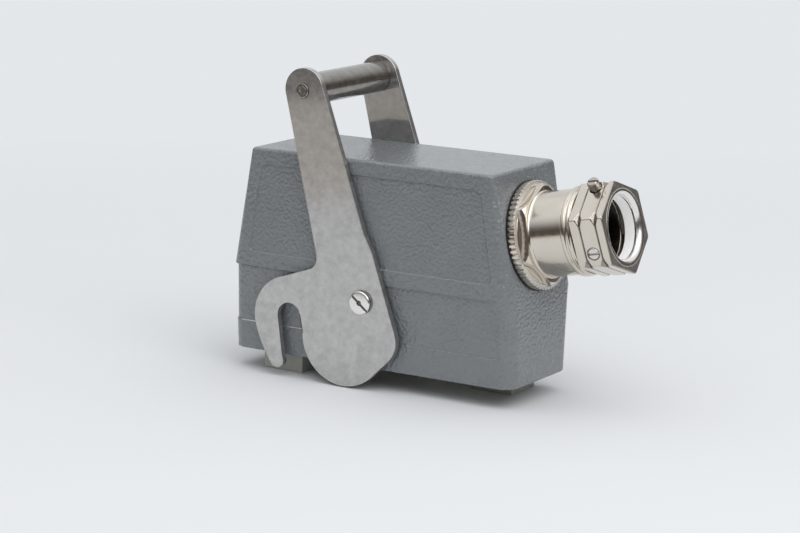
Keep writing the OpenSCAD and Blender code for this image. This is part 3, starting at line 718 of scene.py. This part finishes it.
# the band's flat gets a painted highlight
print("faces along the band:", second_finish(hood, "painted_band_highlight", on_band))

# %% [markdown]
# ## Lever plates
# The lever's two plates are stamped from sheet, and tumbling takes the burr off their edges. The solid's
# outline has a small nick where the hook's slot runs into the lobe, which a stamping tool doesn't leave.
# The outline could be drawn again, but a thin box laid across the nick and joined to the copy fills it too.
# Points are then merged and flat faces joined once more, so that no seam shows.

# %% Helpers: a tilted box, and cuts and joints between pieces
def tilted_box(length, width, depth, centre, tilt):
    """A box in millimetres, turned about the Y axis; depth lies along that axis and tilt is in degrees."""
    bpy.ops.object.select_all(action="DESELECT")
    bpy.ops.mesh.primitive_cube_add(size=1, location=[c * MM for c in centre],
                                    rotation=(0, math.radians(tilt), 0))
    box = bpy.context.object
    box.scale = (length * MM, depth * MM, width * MM)
    bpy.ops.object.transform_apply(location=True, rotation=True, scale=True)
    return box


def carve(piece, *tools, operation="DIFFERENCE"):
    """Takes tools away from a piece, or joins them to it, and deletes the tools."""
    for tool in tools:
        cut = piece.modifiers.new("cut", "BOOLEAN")
        cut.operation = operation
        cut.object = tool
        cut.solver = "EXACT"
        take_modifiers(piece)
        bpy.data.objects.remove(tool)


# %% Fill the nick in each lever plate
PLATE_IN, PLATE_OUT = [round(corner.y / MM, 2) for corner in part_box("lever_plate_far")]
NICK_X, NICK_Z, NICK_TILT = -24.30, 13.96, 77.2       # middle of the filling, and its tilt in degrees
FILL_LENGTH, FILL_WIDTH = 8.06, 3.0
SEAM = 0.005                                          # the joint leaves points closer than this

for side, node in ((-1, "lever_plate_near"), (1, "lever_plate_far")):
    plate = clean_copy(node)
    centre = (NICK_X, side * (PLATE_IN + PLATE_OUT) / 2, NICK_Z)
    carve(plate, tilted_box(FILL_LENGTH, FILL_WIDTH, PLATE_OUT - PLATE_IN, centre, NICK_TILT),
          operation="UNION")
    with editing(plate):
        bpy.ops.mesh.remove_doubles(threshold=SEAM * MM)
        bpy.ops.mesh.dissolve_limited(angle_limit=FLAT)
    round_edges(plate, 0.22, 2)
    stand_in(plate, node, "with its nick filled, rounded by 0.22 mm,")

# %% [markdown]
# ## Pivot screws
# Each lever plate turns on a shoulder screw. Its head was turned on a lathe with a domed face, drilled with
# a small centre hole and then sawn across for a screwdriver. The head could be one spun outline, but the
# saw cut isn't round, so it is made in the order of the workshop: a cylinder whose outer edge is rounded, a
# hole, then a saw cut. The shoulder under it fills the plate's hole. The hole and the slot get a dark finish,
# dirt with painted shade, and the head's side wall gets it too, as a painted dark reflection.

# %% Helpers: a cylinder, and the dressing of a new piece
def cylinder(name, radius, depth, centre, sides=64):
    """A cylinder in millimetres whose axis runs along Y."""
    bpy.ops.object.select_all(action="DESELECT")
    bpy.ops.mesh.primitive_cylinder_add(vertices=sides, radius=radius * MM, depth=depth * MM,
                                        location=[c * MM for c in centre], rotation=(math.pi / 2, 0, 0))
    piece = bpy.context.object
    piece.name = name
    bpy.ops.object.transform_apply(location=True, rotation=True, scale=True)
    return piece


def dress(piece, body, finish, smooth=SMOOTH):
    """Shades a new piece, gives it its material and hangs it on its body."""
    with editing(piece):
        bpy.ops.mesh.normals_make_consistent(inside=False)
    bpy.ops.object.shade_smooth_by_angle(angle=math.radians(smooth))
    piece.data.materials.clear()
    piece.data.materials.append(finishes[finish])
    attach(piece, body)


# %% Pivot screws: turn, drill and saw the heads
hinge = next(joint for joint in frame["joints"] if joint["name"] == "lever_hinge")
PIVOT_Z = round(hinge["pos_m"][2] / MM, 2)
HEAD_R, HEAD_T, HEAD_GAP = 4.4, 1.5, 0.1
HEAD_OUT = PLATE_OUT + HEAD_GAP + HEAD_T              # from the hood's middle plane to the face of the head
DOME_R, HOLE_R, HOLE_DEEP = 0.7, 0.95, 1.0
SLOT_W, SLOT_DEEP, SLOT_TILT = 0.85, 0.6, 39
SHOULDER_R, SHOULDER_L = 3.45, 4.0


def in_cut_or_wall(at, normal):
    """A face of the hole, the slot or the head's side wall, below the head's face: these get painted shade."""
    below = PLATE_OUT + 0.3 < abs(at.y) < HEAD_OUT - 0.02
    return below and (abs(normal.y) < 0.2 or math.hypot(at.x, at.z - PIVOT_Z) < 3.5)


for side, word in ((-1, "near"), (1, "far")):
    face = side * HEAD_OUT
    screw = cylinder("pivot_screw_" + word, HEAD_R, HEAD_T, (0, face - side * HEAD_T / 2, PIVOT_Z))
    rim = round_lines(screw, 4, (DOME_R, lambda a, b: min(side * a.y, side * b.y) > HEAD_OUT - 0.01))
    carve(screw,
          cylinder("hole", HOLE_R, 2 * HOLE_DEEP, (0, face, PIVOT_Z), sides=24),
          tilted_box(12, SLOT_W, 2 * SLOT_DEEP, (0, face, PIVOT_Z), SLOT_TILT))
    in_plate = (0, side * (PLATE_OUT + 0.3 - SHOULDER_L / 2), PIVOT_Z)
    carve(screw, cylinder("shoulder", SHOULDER_R, SHOULDER_L, in_plate), operation="UNION")
    round_edges(screw, 0.08, 1, sharp=50)
    dress(screw, body_of["pivot_screws"], "bright_screw")
    # the hole and the slot get dirt with painted shade, the head's side wall a painted dark reflection
    print(screw.name, "rounded on", rim, "edges,", second_finish(screw, "dirt_and_painted_shade", in_cut_or_wall), "faces darker")
    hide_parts("pivot_screws")
stood_for.add("pivot_screws")

# %% [markdown]
# ## Riveted rod ends
# The handle bar is a tube on a rod, and the rod's ends are hammered over the lever plates. A punch leaves a
# ring and an off-centre dimple in each end. A bump would vanish in profile, so the marks are cut into a
# copy of the CAD rod, whose ends are domed first.

# %% Punch the rod's ends
ARM, TILT = 79.0, math.radians(19.5)                  # the rod's distance and lean from the pivot
ROD_X, ROD_Z = -ARM * math.sin(TILT), PIVOT_Z + ARM * math.cos(TILT)
ROD_END = round(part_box("handle_rivet")[1].y / MM, 2)
RING_OUT, RING_IN, RING_DEEP = 2.1, 1.75, 0.25
DIMPLE_R, DIMPLE_DEEP, DIMPLE_OFF = 0.95, 0.35, (-0.15, 0.5)

rod = clean_copy("handle_rivet")
round_edges(rod, 0.35, 3)
for side in (-1, 1):
    end = (ROD_X, side * ROD_END, ROD_Z)
    ring = cylinder("ring", RING_OUT, 2 * RING_DEEP, end, sides=48)
    carve(ring, cylinder("core", RING_IN, 1.0, end, sides=48))
    dimple = cylinder("dimple", DIMPLE_R, 2 * DIMPLE_DEEP,
                      (ROD_X + DIMPLE_OFF[0], side * ROD_END, ROD_Z + DIMPLE_OFF[1]), sides=32)
    carve(rod, ring, dimple)
round_edges(rod, 0.1, 1, sharp=50)
stand_in(rod, "handle_rivet", "domed and punched,")

# %% [markdown]
# ## The gland's grooves and faces
# The plating isn't equally bright everywhere: it is dull in the grooves, where no polishing wheel reaches, and
# darker there as painted shade, the knurled ring's flat face is matt and pale, and the end nut's face is rough
# from being cut off the bar.
# Faces are picked by how they lean against the gland's axis, because that is what sets a groove from a
# barrel. The upper clamp screw has been turned often, so all of it gets a worn finish.

# %% Second finishes on the gland
GLAND = Vector((55.90, 0, 52.30)) * MM                # where the gland's axis leaves the end wall
ALONG = Vector((math.cos(END_LEAN), 0, math.sin(END_LEAN)))
NUT_END = 36.7                                        # from the wall to the end nut's face, in millimetres
GROOVES_BEYOND = 14.2                                 # the grooves lie further out than this from the axis


def off_axis(at):
    """How far a point, in millimetres, lies from the gland's axis."""
    arm = at - GLAND / MM
    return (arm - ALONG * (arm @ ALONG)).length


def in_groove(at, normal):
    """A slanting face, far out from the axis."""
    return 0.25 < abs(normal @ ALONG) < 0.95 and off_axis(at) > GROOVES_BEYOND


def faces_out(at, normal):
    """A face that looks straight along the axis, away from the hood."""
    return normal @ ALONG > 0.95


for node in ("clamp_hex", "clamp_band", "end_nut"):
    # the grooves' darker colour is painted shade
    print(node, "faces in grooves:", second_finish(worn[node], "groove_painted_shade", in_groove))
print("ring's face:", second_finish(worn["knurled_ring"], "ring_face", faces_out))
print("end nut's face:", second_finish(worn["end_nut"], "faced_nickel", faces_out))
worn["clamp_screw_top"].data.materials[0] = finishes["worn_nickel"]

# %% [markdown]
# ## The gland's mouth
# The end nut's mouth is a smooth turned funnel, and behind it half of a white sleeve shows round the
# cable's place. Both are turned parts, so each starts as a ring of points that is extruded and scaled along
# the gland's axis. A lathe outline and the Spin operator would do the same, but extruding lets each section
# be named by its place and radius. A Solidify modifier then gives the skin its wall.

# %% Helpers: a turned skin and its wall
def turned(name, profile, sides=96):
    """A turned skin from [place along the gland's axis, radius] pairs, in millimetres."""
    start, radius = profile[0]
    bpy.ops.object.select_all(action="DESELECT")
    bpy.ops.mesh.primitive_circle_add(vertices=sides, radius=radius * MM,
                                      location=GLAND + ALONG * start * MM,
                                      rotation=ALONG.to_track_quat("Z", "Y").to_euler())
    piece = bpy.context.object
    piece.name = name
    bpy.ops.object.transform_apply(location=True, rotation=True, scale=True)
    with editing(piece):
        for (s0, r0), (s1, r1) in zip(profile, profile[1:]):
            centre = GLAND + ALONG * s1 * MM
            bpy.ops.mesh.extrude_region_move(TRANSFORM_OT_translate={"value": ALONG * (s1 - s0) * MM})
            bpy.ops.transform.resize(value=(r1 / r0,) * 3, center_override=centre)
    return piece


def wall(piece, thickness, body, finish):
    """Gives a turned skin its thickness in millimetres, and dresses it."""
    skin = piece.modifiers.new("wall", "SOLIDIFY")
    skin.thickness = thickness * MM
    skin.offset = 1.0
    take_modifiers(piece)
    dress(piece, body, finish, smooth=40)
    print(piece.name, len(piece.data.polygons), "faces")


# %% Funnel in the end nut
LIP_AT = NUT_END + 0.02                               # just outside the nut's face
LIP_OUT, LIP_R = 13.5, 13.0                           # radii of the lip's border and of the funnel's start
LIP_DEEP, LIP_IN, LIP_STEPS = 2.4, 1.9, 8             # how far the funnel's bend runs in and inwards

lip = [(LIP_AT, LIP_OUT), (LIP_AT, LIP_R)]
for step in range(1, LIP_STEPS + 1):
    angle = step / LIP_STEPS * math.pi / 2
    lip.append((LIP_AT - LIP_DEEP * (1 - math.cos(angle)), LIP_R - LIP_IN * math.sin(angle)))
wall(turned("gland_funnel", lip), -0.35, body_of["end_nut"], "bright_screw")

# %% Half sleeve behind the funnel
LINER_R, LINER_FROM, LINER_TO = 11.05, NUT_END - 2.4, NUT_END - 6.2

liner = turned("gland_liner", [(LINER_FROM, LINER_R), (LINER_TO, LINER_R)])
with editing(liner):
    bpy.ops.mesh.bisect(plane_co=GLAND, plane_no=(0, -1, 0), clear_outer=True)
# the white sleeve has a painted glow
wall(liner, -0.04, body_of["end_nut"], "white_nylon")

# %% [markdown]
# ## The pieces that keep their shape
# Washers, seals, screws inside the hood and the clamp's jaws are small or hidden, and their CAD meshes are
# right as they are. Only their finish is added, by the material slot that the record names for each.

# %% The other CAD nodes get their finish
plain = [node for node in slot_of if node not in stood_for]
for node in plain:
    part = frame["nodes"][node]
    part.data.materials.clear()
    part.data.materials.append(finishes[slot_of[node]])
print("finished as they are:", ", ".join(plain))
